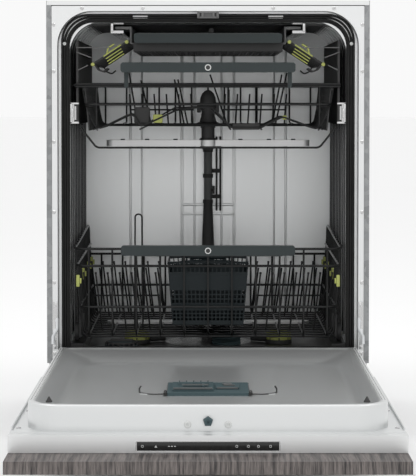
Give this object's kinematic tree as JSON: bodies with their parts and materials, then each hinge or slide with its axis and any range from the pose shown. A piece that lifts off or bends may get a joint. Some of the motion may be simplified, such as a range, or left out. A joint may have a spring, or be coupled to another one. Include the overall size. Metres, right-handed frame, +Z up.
{
  "type": "built-in dishwasher",
  "caption": "Integrated dishwasher with its door open: steel tub, three racks on rails, spray arms, control strip and wood front panel.",
  "frame": {"origin": "middle of the whole object's footprint at floor level, with the door open", "axes": "+X across the front to the right, +Y from the door into the machine, +Z up"},
  "size_m": [0.596, 1.324, 0.82],
  "materials": {
    "outer_sheet": "galvanised sheet with a light spangle",
    "frame_steel": "satin stainless steel",
    "tub_steel": "bright brushed stainless steel",
    "tub_floor_steel": "brushed stainless steel in shade",
    "seal_rubber": "matt black rubber",
    "base_plastic": "moulded dark plastic",
    "ballast_iron": "rough cast iron",
    "hinge_steel": "bright pressed steel",
    "black_plastic": "fine-grained black plastic",
    "filter_steel": "perforated steel",
    "cap_plastic": "light grey plastic",
    "foot_plastic": "hard black plastic",
    "door_steel": "satin stainless steel",
    "fascia_steel": "fine brushed steel",
    "window_glass": "glossy black window",
    "board": "green circuit board",
    "panel_wood": "grey-brown open-pored veneer",
    "teal_plastic": "dark teal moulded plastic",
    "screw_white": "bright round screw heads",
    "rack_wire": "black nylon-coated wire",
    "handle_slate": "slate grey soft-touch plastic",
    "shelf_black": "black plastic with yellow-green ribs",
    "arm_steel": "polished steel arm"
  },
  "bodies": {
    "cabinet": {"side_panel_right": "outer_sheet", "side_panel_left": "outer_sheet", "back_panel": "outer_sheet", "top_panel": "outer_sheet", "top_rail": "frame_steel", "front_frame": "frame_steel", "door_seals": "seal_rubber", "tub_wrapper": "tub_steel", "tub_back": "tub_steel", "tub_floor": "tub_floor_steel", "base_pan": "base_plastic", "ballast": "ballast_iron", "hinge_brackets": "hinge_steel", "door_springs": "hinge_steel", "latch_receiver": "black_plastic", "sump": "black_plastic", "filter_plate": "filter_steel", "circulation_pump": "black_plastic", "drain_pump": "black_plastic", "salt_container": "black_plastic", "feed_pipe": "black_plastic", "zone_jets": "black_plastic", "inlet_valve": "black_plastic", "fixed_rails": "hinge_steel"},
    "front_foot_left": {"front_foot_left": "foot_plastic"},
    "front_foot_right": {"front_foot_right": "foot_plastic"},
    "rear_foot": {"rear_foot": "foot_plastic"},
    "filter_cup": {"filter_cup": "filter_steel"},
    "salt_cap": {"salt_cap": "cap_plastic"},
    "lower_spray_arm": {"lower_spray_arm": "black_plastic"},
    "door": {"door_liner": "door_steel", "door_outer_panel": "door_steel", "control_fascia": "fascia_steel", "control_glass": "window_glass", "control_board": "board", "furniture_panel": "panel_wood", "hinge_arms": "hinge_steel", "latch_hook": "teal_plastic", "liner_screws": "screw_white", "dispenser_body": "teal_plastic"},
    "detergent_lid": {"detergent_lid": "teal_plastic"},
    "rinse_aid_lid": {"rinse_aid_lid": "teal_plastic"},
    "lower_rack": {"lower_rack_frame": "rack_wire", "lower_rack_handle": "handle_slate"},
    "front_wheels": {"front_wheels": "black_plastic"},
    "rear_wheels": {"rear_wheels": "black_plastic"},
    "plate_tines_left": {"plate_tines_left": "rack_wire"},
    "plate_tines_right": {"plate_tines_right": "rack_wire"},
    "cutlery_basket": {"cutlery_basket": "teal_plastic"},
    "telescopic_slides": {"telescopic_slides": "hinge_steel"},
    "upper_carriage": {"side_brackets": "black_plastic"},
    "upper_rack": {"upper_rack_frame": "rack_wire", "upper_rack_handle": "handle_slate", "upper_feed": "black_plastic"},
    "upper_tines": {"upper_tines": "rack_wire"},
    "cup_shelf_left": {"cup_shelf_left": "shelf_black"},
    "cup_shelf_right": {"cup_shelf_right": "shelf_black"},
    "upper_spray_arm": {"upper_spray_arm": "arm_steel"},
    "top_tray": {"tray_frame": "rack_wire", "tray_handle": "handle_slate"}
  },
  "joints": [
    {"name": "door_hinge", "type": "hinge", "parent": "cabinet", "child": "door", "pos_m": [0, 0.091, 0.13], "axis": [1, 0, 0], "range_deg": [-90, 0]},
    {"name": "detergent_lid_slide", "type": "slide", "parent": "door", "child": "detergent_lid", "axis": [-1, 0, 0], "range_m": [0, 0.06]},
    {"name": "rinse_aid_lid_hinge", "type": "hinge", "parent": "door", "child": "rinse_aid_lid", "pos_m": [0.05, -0.258, 0.162], "axis": [0, 1, 0], "range_deg": [0, 100]},
    {"name": "lower_rack_slide", "type": "slide", "parent": "cabinet", "child": "lower_rack", "axis": [0, -1, 0], "range_m": [0, 0.43]},
    {"name": "front_wheels_roll", "type": "hinge", "parent": "lower_rack", "child": "front_wheels", "pos_m": [0, 0.197, 0.1984], "axis": [1, 0, 0], "range_deg": [0, 1460]},
    {"name": "rear_wheels_roll", "type": "hinge", "parent": "lower_rack", "child": "rear_wheels", "pos_m": [0, 0.527, 0.1984], "axis": [1, 0, 0], "range_deg": [0, 1460]},
    {"name": "left_tines_fold", "type": "hinge", "parent": "lower_rack", "child": "plate_tines_left", "pos_m": [0, 0.359, 0.216], "axis": [-1, 0, 0], "range_deg": [0, 85]},
    {"name": "right_tines_fold", "type": "hinge", "parent": "lower_rack", "child": "plate_tines_right", "pos_m": [0, 0.359, 0.216], "axis": [-1, 0, 0], "range_deg": [0, 85]},
    {"name": "cutlery_basket_lift", "type": "slide", "parent": "lower_rack", "child": "cutlery_basket", "axis": [0, 0, 1], "range_m": [0, 0.06]},
    {"name": "upper_rack_slide", "type": "slide", "parent": "cabinet", "child": "upper_carriage", "axis": [0, -1, 0], "range_m": [0, 0.4]},
    {"name": "telescopic_travel", "type": "slide", "parent": "cabinet", "child": "telescopic_slides", "axis": [0, -1, 0], "range_m": [0, 0.2]},
    {"name": "upper_rack_height", "type": "slide", "parent": "upper_carriage", "child": "upper_rack", "axis": [0, 0, 1], "range_m": [-0.028, 0]},
    {"name": "upper_tines_fold", "type": "hinge", "parent": "upper_rack", "child": "upper_tines", "pos_m": [0, 0.339, 0.59], "axis": [-1, 0, 0], "range_deg": [0, 80]},
    {"name": "left_shelf_fold", "type": "hinge", "parent": "upper_rack", "child": "cup_shelf_left", "pos_m": [-0.216, 0.107, 0.704], "axis": [0, 1, 0], "range_deg": [0, 33]},
    {"name": "right_shelf_fold", "type": "hinge", "parent": "upper_rack", "child": "cup_shelf_right", "pos_m": [0.216, 0.107, 0.704], "axis": [0, -1, 0], "range_deg": [0, 33]},
    {"name": "upper_spray_arm_spin", "type": "hinge", "parent": "upper_rack", "child": "upper_spray_arm", "pos_m": [0, 0.367, 0.552], "axis": [0, 0, 1], "continuous": true},
    {"name": "lower_spray_arm_spin", "type": "hinge", "parent": "cabinet", "child": "lower_spray_arm", "pos_m": [0, 0.365, 0.194], "axis": [0, 0, 1], "continuous": true},
    {"name": "top_tray_slide", "type": "slide", "parent": "cabinet", "child": "top_tray", "axis": [0, -1, 0], "range_m": [0, 0.38]},
    {"name": "filter_cup_turn", "type": "hinge", "parent": "cabinet", "child": "filter_cup", "pos_m": [0.036, 0.315, 0.13], "axis": [0, 0, 1], "range_deg": [0, 90]},
    {"name": "salt_cap_turn", "type": "hinge", "parent": "cabinet", "child": "salt_cap", "pos_m": [-0.165, 0.225, 0.165], "axis": [0, 0, 1], "range_deg": [0, 90]},
    {"name": "front_foot_left_screw", "type": "slide", "parent": "cabinet", "child": "front_foot_left", "axis": [0, 0, -1], "range_m": [0, 0.03]},
    {"name": "front_foot_right_screw", "type": "slide", "parent": "cabinet", "child": "front_foot_right", "axis": [0, 0, -1], "range_m": [0, 0.03]},
    {"name": "rear_foot_screw", "type": "slide", "parent": "cabinet", "child": "rear_foot", "axis": [0, 0, -1], "range_m": [0, 0.03]}
  ],
  "couplings": [
    {"joint": "front_wheels_roll", "follows": "lower_rack_slide", "rad_per_m": 58.824},
    {"joint": "rear_wheels_roll", "follows": "lower_rack_slide", "rad_per_m": 58.824},
    {"joint": "telescopic_travel", "follows": "upper_rack_slide", "ratio": 0.5}
  ]
}
